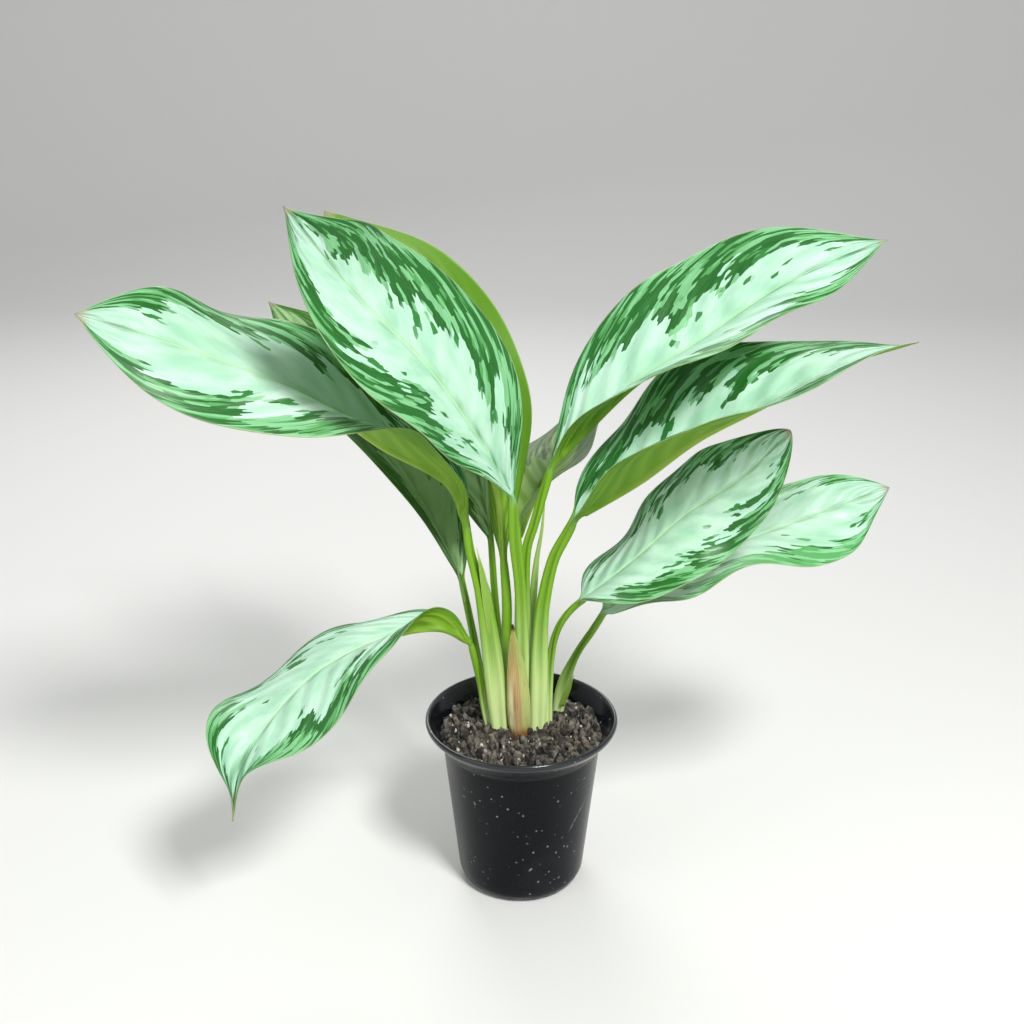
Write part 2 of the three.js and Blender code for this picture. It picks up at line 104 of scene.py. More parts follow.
bm = bmesh.new()
bmesh.ops.create_grid(bm, x_segments=1, y_segments=1, size=FLOOR_HALF)
back = [e for e in bm.edges if all(v.co.y > 0 for v in e.verts)]
for step in range(1, BEND_STEPS + 1):
    turn = math.radians(90 * step / BEND_STEPS)
    grown = bmesh.ops.extrude_edge_only(bm, edges=back)["geom"]
    back = [e for e in grown if isinstance(e, bmesh.types.BMEdge)]
    for v in {v for e in back for v in e.verts}:
        v.co.y = FLOOR_HALF + WALL_BEND * math.sin(turn)
        v.co.z = WALL_BEND * (1 - math.cos(turn))
grown = bmesh.ops.extrude_edge_only(bm, edges=back)["geom"]
for v in [v for v in grown if isinstance(v, bmesh.types.BMVert)]:
    v.co.z += WALL_RISE
for face in bm.faces:
    face.smooth = True
bmesh.ops.recalc_face_normals(bm, faces=bm.faces)
floor_paint = bpy.data.materials.new("floor_paint")
floor_paint.use_nodes = True
floor_look = floor_paint.node_tree.nodes["Principled BSDF"].inputs
floor_look["Base Color"].default_value = colour(0xDFDFDC)
floor_look["Roughness"].default_value = 0.8
floor = object_from(bm, "floor", [floor_paint])
print("floor faces:", len(floor.data.polygons))

# %% Light
LAMPS = {
    "key": {"at": (0.45, -0.9, 1.4), "size": 0.34, "power": 25},
    "fill": {"at": (-1.25, -0.8, 0.7), "size": 1.0, "power": 4},
    "back": {"at": (-0.3, 1.2, 1.2), "size": 0.8, "power": 9},
}
AIM = Vector((0, 0, 0.27))
ROOM_LIGHT = 0.5

for name, lamp in LAMPS.items():
    light = bpy.data.lights.new(name, "AREA")
    light.size = lamp["size"]
    light.energy = lamp["power"]
    holder = bpy.data.objects.new(name, light)
    holder.location = lamp["at"]
    holder.rotation_euler = (AIM - holder.location).to_track_quat("-Z", "Y").to_euler()
    bpy.context.scene.collection.objects.link(holder)
world = bpy.data.worlds.new("studio")
world.use_nodes = True
room = world.node_tree.nodes["Background"].inputs
room["Color"].default_value = colour(0xF2F4F5)
room["Strength"].default_value = ROOM_LIGHT
bpy.context.scene.world = world
bpy.context.scene.view_settings.view_transform = "Standard"
print("lamps:", ", ".join(LAMPS))

# %% [markdown]
# ## Writing materials as sums
# A pattern is easier to read as a formula than as a web of nodes. A small class wraps a
# node's output so that + - * / on it add Math nodes, and one method makes every other node:
# it takes the node's type, its settings, and what goes into its sockets.

# %% Shader helper
class Wire:
    """An output in a material. Sums and products of wires add Math nodes."""

    def __init__(self, finish, socket):
        self.finish = finish
        self.socket = socket

    def math(self, operation, *values):
        return self.finish.node("ShaderNodeMath", {"operation": operation}, dict(enumerate(values)))

    def __add__(self, other):
        return self.math("ADD", self, other)

    __radd__ = __add__

    def __sub__(self, other):
        return self.math("SUBTRACT", self, other)

    def __rsub__(self, other):
        return self.math("SUBTRACT", other, self)

    def __mul__(self, other):
        return self.math("MULTIPLY", self, other)

    __rmul__ = __mul__

    def __truediv__(self, other):
        return self.math("DIVIDE", self, other)

    def __pow__(self, other):
        return self.math("POWER", self, other)

    def __abs__(self):
        return self.math("ABSOLUTE", self)

    def over(self, low, high):
        """0 below low, 1 above high, and a smooth step between them."""
        return self.finish.node(
            "ShaderNodeMapRange",
            {"interpolation_type": "SMOOTHSTEP"},
            {"Value": self, "From Min": low, "From Max": high},
        )


class Finish:
    """A material in the making."""

    def __init__(self, name):
        self.material = bpy.data.materials.new(name)
        self.material.use_nodes = True
        self.tree = self.material.node_tree
        self.shader = self.tree.nodes["Principled BSDF"]

    def feed(self, socket, value):
        if isinstance(value, Wire):
            self.tree.links.new(value.socket, socket)
        else:
            socket.default_value = value

    def node(self, kind, settings=None, inputs=None, out=0):
        made = self.tree.nodes.new(kind)
        for key, value in (settings or {}).items():
            setattr(made, key, value)
        for key, value in (inputs or {}).items():
            self.feed(made.inputs[key], value)
        return Wire(self, made.outputs[out])

    def surface(self, **inputs):
        for key, value in inputs.items():
            self.feed(self.shader.inputs[key.replace("_", " ")], value)
        return self.material

    def place(self):
        return self.node("ShaderNodeTexCoord", out="Object")

    def split(self, vector):
        kinds = ("X", "Y", "Z")
        return [self.node("ShaderNodeSeparateXYZ", {}, {0: vector}, out=k) for k in kinds]

    def join(self, x, y, z=0.0):
        return self.node("ShaderNodeCombineXYZ", {}, {0: x, 1: y, 2: z})

    def growth(self):
        """The shares along a leaf and round it, from the leaf's own map."""
        along, around, _ = self.split(self.node("ShaderNodeUVMap", {"uv_map": "growth"}))
        return along, around

    def grain(self, where, scale, detail=2.0, rough=0.5):
        inputs = {"Vector": where, "Scale": scale, "Detail": detail, "Roughness": rough}
        return self.node("ShaderNodeTexNoise", {}, inputs, out="Fac")

    def cells(self, where, scale):
        inputs = {"Vector": where, "Scale": scale}
        return self.node("ShaderNodeTexVoronoi", {}, inputs, out="Distance")

    def mix(self, share, first, second):
        inputs = {0: share, 6: first, 7: second}
        return self.node("ShaderNodeMix", {"data_type": "RGBA"}, inputs, out=2)

    def bump(self, height, strength, distance):
        inputs = {"Height": height, "Strength": strength, "Distance": distance}
        return self.node("ShaderNodeBump", {}, inputs, out="Normal")


print("helpers:", Wire.__name__, Finish.__name__)

# %% [markdown]
# ## Pot
# The real pot is blown or moulded from thin black plastic: a tapered wall, a flared lip, a
# rounded bottom edge and holes in the floor for water. A turned thing is best made by
# spinning its profile once round the axis. The holes are then cut with a Boolean modifier.

# %% Pot shape
POT_PROFILE = [
    (0, 0), (31, 0), (33.4, 0.4), (35.2, 1.1), (36.9, 2.2), (38.2, 3.8), (39.2, 5.7), (39.9, 8), (40.6, 14),
    (49.2, 96), (49.7, 97.8), (50.6, 99.3), (54.6, 104.2), (58.8, 109), (59.6, 110.2), (60, 111.6),
    (59.8, 112.8), (59.2, 113.5), (58.3, 113.6), (57.6, 113), (56.9, 111), (52.8, 105.2),
    (49.3, 100.4), (48, 96), (39.4, 14), (38.7, 8.4), (37.2, 4.8), (34.8, 2.5), (31, 1.6), (0, 1.6),
]
POT_STEPS = 144
DRAIN_COUNT = 6
DRAIN_RADIUS = 3.5
DRAIN_CIRCLE = 24
DRILL_SIDES = 28
DRILL_LENGTH = 10


def turned(name, profile, steps):
    """Spins a profile of (radius, height) pairs in millimetres once round the Z axis."""
    bm = bmesh.new()
    line = [bm.verts.new((r * MM, 0, z * MM)) for r, z in profile]
    edges = [bm.edges.new(pair) for pair in zip(line, line[1:])]
    bmesh.ops.spin(
        bm, geom=line + edges, cent=(0, 0, 0), axis=(0, 0, 1),
        angle=math.radians(360), steps=steps, use_merge=True,
    )
    bmesh.ops.remove_doubles(bm, verts=bm.verts, dist=1e-6)
    bmesh.ops.recalc_face_normals(bm, faces=bm.faces)
    for face in bm.faces:
        face.smooth = True
    return object_from(bm, name)


def applied(piece):
    """Makes the piece's modifiers part of its mesh."""
    shown = piece.evaluated_get(bpy.context.evaluated_depsgraph_get())
    mesh = bpy.data.meshes.new_from_object(shown)
    piece.modifiers.clear()
    piece.data = mesh


pot = turned("pot_shell", POT_PROFILE, POT_STEPS)
bm = bmesh.new()
for k in range(DRAIN_COUNT):
    angle = (k + 0.5) / DRAIN_COUNT * math.tau
    drill = bmesh.ops.create_cone(
        bm, cap_ends=True, segments=DRILL_SIDES,
        radius1=DRAIN_RADIUS * MM, radius2=DRAIN_RADIUS * MM, depth=DRILL_LENGTH * MM,
    )["verts"]
    centre = Vector((math.cos(angle), math.sin(angle), 0)) * DRAIN_CIRCLE * MM
    bmesh.ops.translate(bm, verts=drill, vec=centre)
drills = object_from(bm, "drills")
cut = pot.modifiers.new("drain_holes", "BOOLEAN")
cut.object = drills
cut.solver = "EXACT"
applied(pot)
bpy.data.objects.remove(drills)
print("pot faces:", len(pot.data.polygons))

# %% [markdown]
# ## Pot finish
# The plastic is a blue-tinged black with a half gloss, and its lip is glossier. Potting leaves
# its traces: white dust that settles in specks, a haze, faint smears, one slanting scuff on the
# right, and a rubbed pale edge where the pot stands. A photograph could be laid on, but masks are
# sharp at every size. The scuff is a line worked out from x and z, the specks are the middles of
# small cells, and noise gives the rest.
# All of them lighten the colour, as does a little painted highlight along the top of the lip, and dust,
# haze and the rubbed foot also dull the gloss.

# %% Pot finish
SCUFF_AT = (0.028, 0.049)
SCUFF_WAY = (0.53, 0.85)

plastic = Finish("pot_plastic")
where = plastic.place()
x, y, z = plastic.split(where)
specks = plastic.cells(where, 210.0)
chosen = plastic.grain(where, 26.0, 3.0).over(0.44, 0.6)
dust = (1 - specks.over(0.1, 0.2)) * chosen
haze = plastic.grain(where, 14.0, 6.0, 0.62).over(0.48, 0.8)
stretched = plastic.join(x * 40.0, y * 40.0, z * 700.0)
smear = plastic.grain(stretched, 1.0, 3.0, 0.6).over(0.62, 0.78) * haze
foot = (1 - z.over(0.001, 0.006)) * plastic.grain(where, 90.0, 4.0).over(0.46, 0.62)
# painted highlight: the top of the lip is lightened a little
lip = z.over(0.1105, 0.1125)
right, high = x - SCUFF_AT[0], z - SCUFF_AT[1]
along = right * SCUFF_WAY[0] + high * SCUFF_WAY[1]
waver = (plastic.grain(where, 200.0) - 0.5) * 0.002
aside = abs(right * SCUFF_WAY[1] - high * SCUFF_WAY[0] + waver)
scuff = (1 - aside.over(0.0001, 0.0008)) * along.over(0.0, 0.006) * (1 - along.over(0.016, 0.026))
scuff = scuff * (1 - y.over(-0.02, 0.0)) * plastic.grain(where, 500.0, 3.0).over(0.3, 0.6)
wear_and_lip_highlight = dust * 0.34 + haze * 0.02 + smear * 0.03 + foot * 0.25 + lip * 0.03 + scuff * 0.22
pot.data.materials.append(plastic.surface(
    Base_Color=plastic.mix(wear_and_lip_highlight, colour(0x0B0E13), colour(0xBFC5CA)),
    Roughness=0.24 + haze * 0.16 + dust * 0.4 + foot * 0.2,
    IOR=1.36,
    Specular_IOR_Level=0.2,
    Coat_Weight=z.over(0.1, 0.112) * 0.7,
    Coat_Roughness=0.12,
    Normal=plastic.bump(plastic.grain(where, 320.0, 3.0), 0.12, 0.0004),
))
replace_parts(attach(pot, "root"), "pot")
print("pot dressed")

# %% [markdown]
# ## Soil
# Potting mix is crumbs of peat and bark with white perlite. Its body is a turned solid whose
# top is lifted by cellular noise, which gives rounded clods with dark gaps between them. Loose
# crumbs, chips and grains are then strewn on top with a seeded draw and sunk by rather less than
# half, so that each one rests on the body. Between the stalks the mix lies as high as round them.

# %% Soil body
SOIL_STEPS = 240
# Millimetres: the top's height and radius, the radius from where it falls towards the wall and
# how far it falls, the step between its rings, and the spans of its clods and of its swell.
SOIL_LEVEL = 104
SOIL_REACH = 51.0
FLAT_REACH = 47.5
EDGE_DROP = 2.2
RING_STEP = 0.85
RING_COUNT = 60
BIG_CLOD = 9.5
SMALL_CLOD = 3.8
SWELL = 19
SOIL_SIDE = [(0, 2), (30, 2), (34.3, 3.2), (36.7, 5.3), (38.3, 8.7), (39.1, 14.2), (47.6, 96), (48.6, 99.8)]


def clods(x, y):
    """How high the mix stands over its level at a point, in millimetres."""
    big = noise.voronoi(Vector((x / BIG_CLOD, y / BIG_CLOD, 3.1)))[0][0]
    small = noise.voronoi(Vector((x / SMALL_CLOD, y / SMALL_CLOD, 8.4)))[0][0]
    swell = noise.noise(Vector((x / SWELL, y / SWELL, 5.2)))
    return 4 * (0.55 - big) + 2 * (0.5 - small) + 1.6 * swell


rings = [(SOIL_REACH - RING_STEP * k, SOIL_LEVEL) for k in range(RING_COUNT)]
soil = turned("soil_mix", SOIL_SIDE + rings + [(0, SOIL_LEVEL)], SOIL_STEPS)
for vert in soil.data.vertices:
    if vert.co.z > (SOIL_LEVEL - 0.5) * MM:
        x, y = vert.co.x / MM, vert.co.y / MM
        edge = max(0, math.hypot(x, y) - FLAT_REACH) / (SOIL_REACH - FLAT_REACH)
        vert.co.z += (clods(x, y) - EDGE_DROP * edge) * MM
print("soil faces:", len(soil.data.polygons))

# %% Soil finish
mix = Finish("potting_mix")
where = mix.place()
lumps = mix.cells(where, 300.0)
tone = mix.grain(where, 160.0, 5.0, 0.65)
fine = mix.grain(where, 900.0, 4.0, 0.7)
warm = mix.grain(where, 55.0, 3.0).over(0.45, 0.7)
dark = mix.mix(warm, colour(0x1F1D1B), colour(0x3F3831))
mixed = mix.mix(tone.over(0.42, 0.68) * 0.85, dark, colour(0x8E867B))
flecks = (1 - mix.cells(where, 420.0).over(0.12, 0.2)) * mix.grain(where, 75.0, 2.0).over(0.56, 0.62)
soil_paint = mix.surface(
    Base_Color=mix.mix(flecks * 0.8, mixed, colour(0xB9B4AA)),
    Roughness=0.78 + fine * 0.2,
    Normal=mix.bump(lumps * 0.6 + fine, 0.8, 0.0012),
)
soil.data.materials.append(soil_paint)
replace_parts(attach(soil, "root"), "soil")
print("soil dressed")

# %% Bark and perlite finishes
bark = Finish("bark_chips")
where = bark.place()
fibre = bark.grain(where, 420.0, 4.0, 0.7)
bark_paint = bark.surface(
    Base_Color=bark.mix(fibre.over(0.3, 0.7), colour(0x37302A), colour(0x8C8173)),
    Roughness=0.8,
    Normal=bark.bump(fibre, 0.7, 0.0008),
)
white = Finish("perlite_grains")
where = white.place()
pores = white.grain(where, 800.0, 3.0, 0.7)
perlite_paint = white.surface(
    Base_Color=white.mix(pores.over(0.35, 0.7), colour(0x9B958A), colour(0xE9E6DE)),
    Roughness=0.85,
    Normal=white.bump(pores, 0.6, 0.0006),
)
print("finishes:", bark_paint.name, perlite_paint.name)

# %% Crumbs, chips and white grains
LUMP_DENTS = (0.72, 1.25)
LUMP_FLATNESS = 0.75
LUMP_TILT = 0.5
LUMP_LIFT = 0.35
STREWN = {
    "soil_crumbs": {"count": 460, "size": (1.1, 4.1), "long": 1.45, "paint": soil_paint, "seed": 3},
    "bark_chips": {"count": 34, "size": (1.7, 4), "long": 2.4, "paint": bark_paint, "seed": 8},
    "perlite_grains": {"count": 150, "size": (1, 2), "long": 1.15, "paint": perlite_paint, "seed": 5},
}


def strewn(name, count, size, long, paint, seed):
    """Small dented lumps scattered over the soil, each sunk in it by rather less than half."""
    draw = random.Random(seed)
    bm = bmesh.new()
    for _ in range(count):
        reach = FLAT_REACH * math.sqrt(draw.random())
        turn = draw.uniform(0, math.tau)
        x, y = reach * math.cos(turn), reach * math.sin(turn)
        radius = draw.uniform(*size) * draw.uniform(0.6, 1)
        lump = bmesh.ops.create_icosphere(bm, subdivisions=1, radius=radius * MM)["verts"]
        for vert in lump:
            vert.co *= draw.uniform(*LUMP_DENTS)
        bmesh.ops.scale(bm, verts=lump, vec=(long, 1, LUMP_FLATNESS))
        tilt = [draw.uniform(-LUMP_TILT, LUMP_TILT) for _ in range(2)]
        spin = Vector((*tilt, 1)).rotation_difference(Vector((1, 0, 0)))
        bmesh.ops.rotate(bm, verts=lump, matrix=spin.to_matrix())
        height = SOIL_LEVEL + clods(x, y) + LUMP_LIFT * radius
        bmesh.ops.translate(bm, verts=lump, vec=Vector((x, y, height)) * MM)
    bmesh.ops.recalc_face_normals(bm, faces=bm.faces)
    for face in bm.faces:
        face.smooth = name == "perlite_grains"
    piece = object_from(bm, name, [paint])
    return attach(piece, "root")


for name, kind in STREWN.items():
    print(name, len(strewn(name, **kind).data.polygons))

# %% [markdown]
# ## The way a leaf grows
# Each leaf is one body: a stalk whose foot clasps the plant, a midrib that goes on from it, and
# a blade that folds up from the midrib, curls outwards and waves along its edges. Its place is
# set by a few points of its middle line and by where its upper face looks. A flat grid is the
# start: rows run along the leaf and columns round it, and every grid point is moved to its
# place, so the grid's own coordinates stay with the leaf for the pattern to follow.

# %% Lines and blends
CURVE_STEPS = 40


def even(steps):
    """Shares from 0 to 1 in even steps."""
    return [i / steps for i in range(steps + 1)]


def blend(values, s):
    """A value at share s of the way, from values spread evenly, without corners."""
    last = len(values) - 1
    i = min(int(s * last), last - 1)
    f = s * last - i
    a, b, c, d = (values[max(0, min(last, k))] for k in (i - 1, i, i + 1, i + 2))
    return b + (c - a + (2 * a - 5 * b + 4 * c - d + (3 * (b - c) + d - a) * f) * f) * f / 2


def smooth_line(points):
    """Points of a smooth curve through the given ones, with their distances along it."""
    p = [Vector(q) for q in points]
    p = [2 * p[0] - p[1], *p, 2 * p[-1] - p[-2]]
    out = []
    for a, b, c, d in zip(p, p[1:], p[2:], p[3:]):
        k0, k1, k2 = (max((v - u).length_squared ** 0.25, 1e-4) for u, v in ((a, b), (b, c), (c, d)))
        leave = ((b - a) / k0 - (c - a) / (k0 + k1) + (c - b) / k1) * k1
        arrive = ((c - b) / k1 - (d - b) / (k1 + k2) + (d - c) / k2) * k1
        square = 3 * (c - b) - 2 * leave - arrive
        cube = 2 * (b - c) + leave + arrive
        for f in even(CURVE_STEPS)[:-1]:
            out.append(b + leave * f + square * f * f + cube * f * f * f)
    out.append(p[-2])
    reach = [0.0]
    for u, v in zip(out, out[1:]):
        reach.append(reach[-1] + (v - u).length)
    return out, reach


def stations(points, shares):
    """(share, place, direction) at each share of the way along the smooth line."""
    line, reach = smooth_line(points)
    made = []
    i = 0
    for s in shares:
        goal = s * reach[-1]
        while i < len(line) - 2 and reach[i + 1] < goal:
            i += 1
        f = (goal - reach[i]) / (reach[i + 1] - reach[i])
        before = line[i + 1] - line[max(i - 1, 0)]
        after = line[min(i + 2, len(line) - 1)] - line[i]
        made.append((s, line[i].lerp(line[i + 1], f), before.lerp(after, f).normalized()))
    return made


def facing(ahead, face):
    """The upper side's direction and the right-hand direction at a point of the line."""
    up = (face - ahead * face.dot(ahead)).normalized()
    return up, ahead.cross(up)


print("halfway from 0 to 1:", blend([0, 1], 0.5))

# %% Columns round a leaf
HALF = 17
WIDTH_COLUMNS = 2 * HALF + 1
RIB_COLUMNS = 4
MARGIN_CROWDING = 1.25


def column(j):
    """Column j of the upper side: its side, its place on the rib and its share of the half blade."""
    n = abs(j - HALF)
    sign = -1 if j < HALF else 1
    if n < RIB_COLUMNS:
        return sign, n / RIB_COLUMNS, 0.0
    share = (n - RIB_COLUMNS) / (HALF - RIB_COLUMNS)
    return sign, 1.0, 1 - (1 - share) ** MARGIN_CROWDING


COLUMNS = [column(j) for j in range(WIDTH_COLUMNS)]
SWEEP = [math.pi * (j + 0.5) / WIDTH_COLUMNS for j in range(WIDTH_COLUMNS)]
print("columns round a leaf:", 2 * WIDTH_COLUMNS)

# %% Blade and stalk sections
# Millimetres: the midrib's radius at the tip, half the thickness beside the midrib and at the
# margin, the half width from which a row is all blade, and the dip along the midrib.
TIP_RIB = 0.45
BLADE_HALF = 0.4
EDGE_HALF = 0.16
ALL_BLADE = 6
RIB_DIP = 0.35
# How fast the outline closes at the tip, the least curl in radians, and how wide the stalk's
# channel is as a share of its half width.
TIP_TAPER = 1.2
LEAST_CURL = 1e-3
CHANNEL_SPREAD = 0.42


def blade_row(station, face, leaf):
    """The points of one row round the blade, with each point's share across it."""
    s, middle, ahead = station
    up, side = facing(ahead, face)
    peak = leaf["peak"]
    swell = TIP_TAPER * peak / (1 - peak)
    shape = s**swell * (1 - s) ** TIP_TAPER / (peak**swell * (1 - peak) ** TIP_TAPER)
    width = leaf["width"] * shape ** leaf["full"]
    rib = leaf["rib_radius"] * (1 - s) + TIP_RIB * s
    flat = min(1, width / ALL_BLADE)
    ease = flat * flat * (3 - 2 * flat)
    ripple_depth, count, *start = leaf["wave"]
    row = []
    for under in (False, True):
        for j in range(WIDTH_COLUMNS):
            if under:
                j = WIDTH_COLUMNS - 1 - j
            sign, on_rib, k = COLUMNS[j]
            way = 0 if sign < 0 else 1
            fold = math.radians(blend(leaf["fold"][way], s))
            curl = math.radians(blend(leaf["curl"][way], s))
            if abs(curl) < LEAST_CURL:
                curl = LEAST_CURL
            turn = fold + curl * k if k else fold * on_rib
            wide = width * leaf["halves"][way]
            beat = math.sin(math.tau * (count * s + start[way]))
            ripple = ripple_depth * k * k * math.sin(math.pi * s) * beat
            out = wide * (math.sin(fold + curl * k) - math.sin(fold)) / curl
            lift = wide * (math.cos(fold) - math.cos(fold + curl * k)) / curl
            c = -math.cos(SWEEP[j]) * (1 - ease) + sign * on_rib * ease
            thick = BLADE_HALF + (EDGE_HALF - BLADE_HALF) * k * k
            if under and k == 0:
                thick = max(thick, rib * math.sqrt(max(0, 1 - on_rib * on_rib)))
            if not under and k == 0:
                thick -= RIB_DIP * min(1, rib) * (1 - on_rib) * ease
            depth = (1 - flat) * rib * math.sin(SWEEP[j]) + flat * thick
            depth = (-depth if under else depth) + ripple
            x = sign * (out - depth * math.sin(turn)) + rib * c * math.cos(turn)
            z = lift + depth * math.cos(turn) + rib * abs(c) * math.sin(turn)
            rib_share = rib / max(wide, 1)
            across = sign * (k + rib_share * on_rib * (1 - k)) / (1 + rib_share * (1 - k))
            row.append((middle + side * x + up * z, across))
    return row


def stalk_row(station, face, wide, thick, lean, groove):
    """The points of one row round a stalk: an oval with a channel along its upper side."""
    s, middle, ahead = station
    up, side = facing(ahead, face)
    row = []
    for under in (False, True):
        for j in range(WIDTH_COLUMNS):
            angle = SWEEP[WIDTH_COLUMNS - 1 - j] if under else SWEEP[j]
            c, h = -math.cos(angle), math.sin(angle)
            if under:
                h = -h
            else:
                h -= groove * math.exp(-((c / CHANNEL_SPREAD) ** 2))
            point = middle + side * (lean + c * wide) + up * h * thick
            row.append((point, c))
    return row


# %% A body from rows
EASING_ROUNDS = 6


def leaf_body(name, rows, eased=()):
    """A closed body on a grid, from rows that each hold a share along and (point, share across).

    Rows whose numbers are in eased are smoothed, as where the stalk meets the blade.
    The map named growth holds the share along the leaf, and across it: the upper side fills
    0 to 0.5 from the left edge to the right, and the under side 0.5 to 1 back to the left.
    """
    around = len(rows[0][1])
    bm = bmesh.new()
    bmesh.ops.create_grid(bm, x_segments=len(rows) - 1, y_segments=around, size=1)
    bm.verts.ensure_lookup_table()
    spots = {}
    for vert in bm.verts:
        i = round((vert.co.x + 1) / 2 * (len(rows) - 1))
        j = round((vert.co.y + 1) / 2 * around)
        spots[vert] = (i, j)
    growth = bm.loops.layers.uv.new("growth")
    for face in bm.faces:
        face.smooth = True
        for loop in face.loops:
            i, j = spots[loop.vert]
            along = rows[i][0]
            across = rows[i][1][j % around][1]
            if j == around:
                place = 1.0
            elif j < around / 2:
                place = (across + 1) / 4
            else:
                place = (3 - across) / 4
            loop[growth].uv = (along, place)
    for vert, (i, j) in spots.items():
        vert.co = rows[i][1][j % around][0] * MM
    bmesh.ops.remove_doubles(bm, verts=bm.verts, dist=1e-7)
    joint = [vert for vert, (i, j) in spots.items() if vert.is_valid and i in eased]
    for _ in range(EASING_ROUNDS):
        bmesh.ops.smooth_vert(
            bm, verts=joint, factor=0.5, use_axis_x=True, use_axis_y=True, use_axis_z=True,
        )
    open_edges = [e for e in bm.edges if e.is_boundary]
    bmesh.ops.holes_fill(bm, edges=open_edges, sides=0)
    bmesh.ops.recalc_face_normals(bm, faces=bm.faces)
    return object_from(bm, name)


# %% [markdown]
# ## Leaves in numbers
# Eleven leaves, each with its own bearing, in millimetres and degrees. `stalk` and `blade` are
# points of the middle line. `foot` is where the upper side looks at the stalk's foot, and `face`
# where it looks at the blade's base, middle and tip. `wide` and `thick` are the stalk's half
# measures along its length, and `lean` shifts it to one side. `width` is that of half a blade
# and `halves` each half's share of it, `peak` is how far along the blade is widest, and a smaller
# `full` makes a fuller outline. `rib_radius` is the midrib's at its base. `fold` and `curl` are
# for the left and the right half, from base to tip. `wave` is the ripple's depth, its count and
# where it starts on each half.

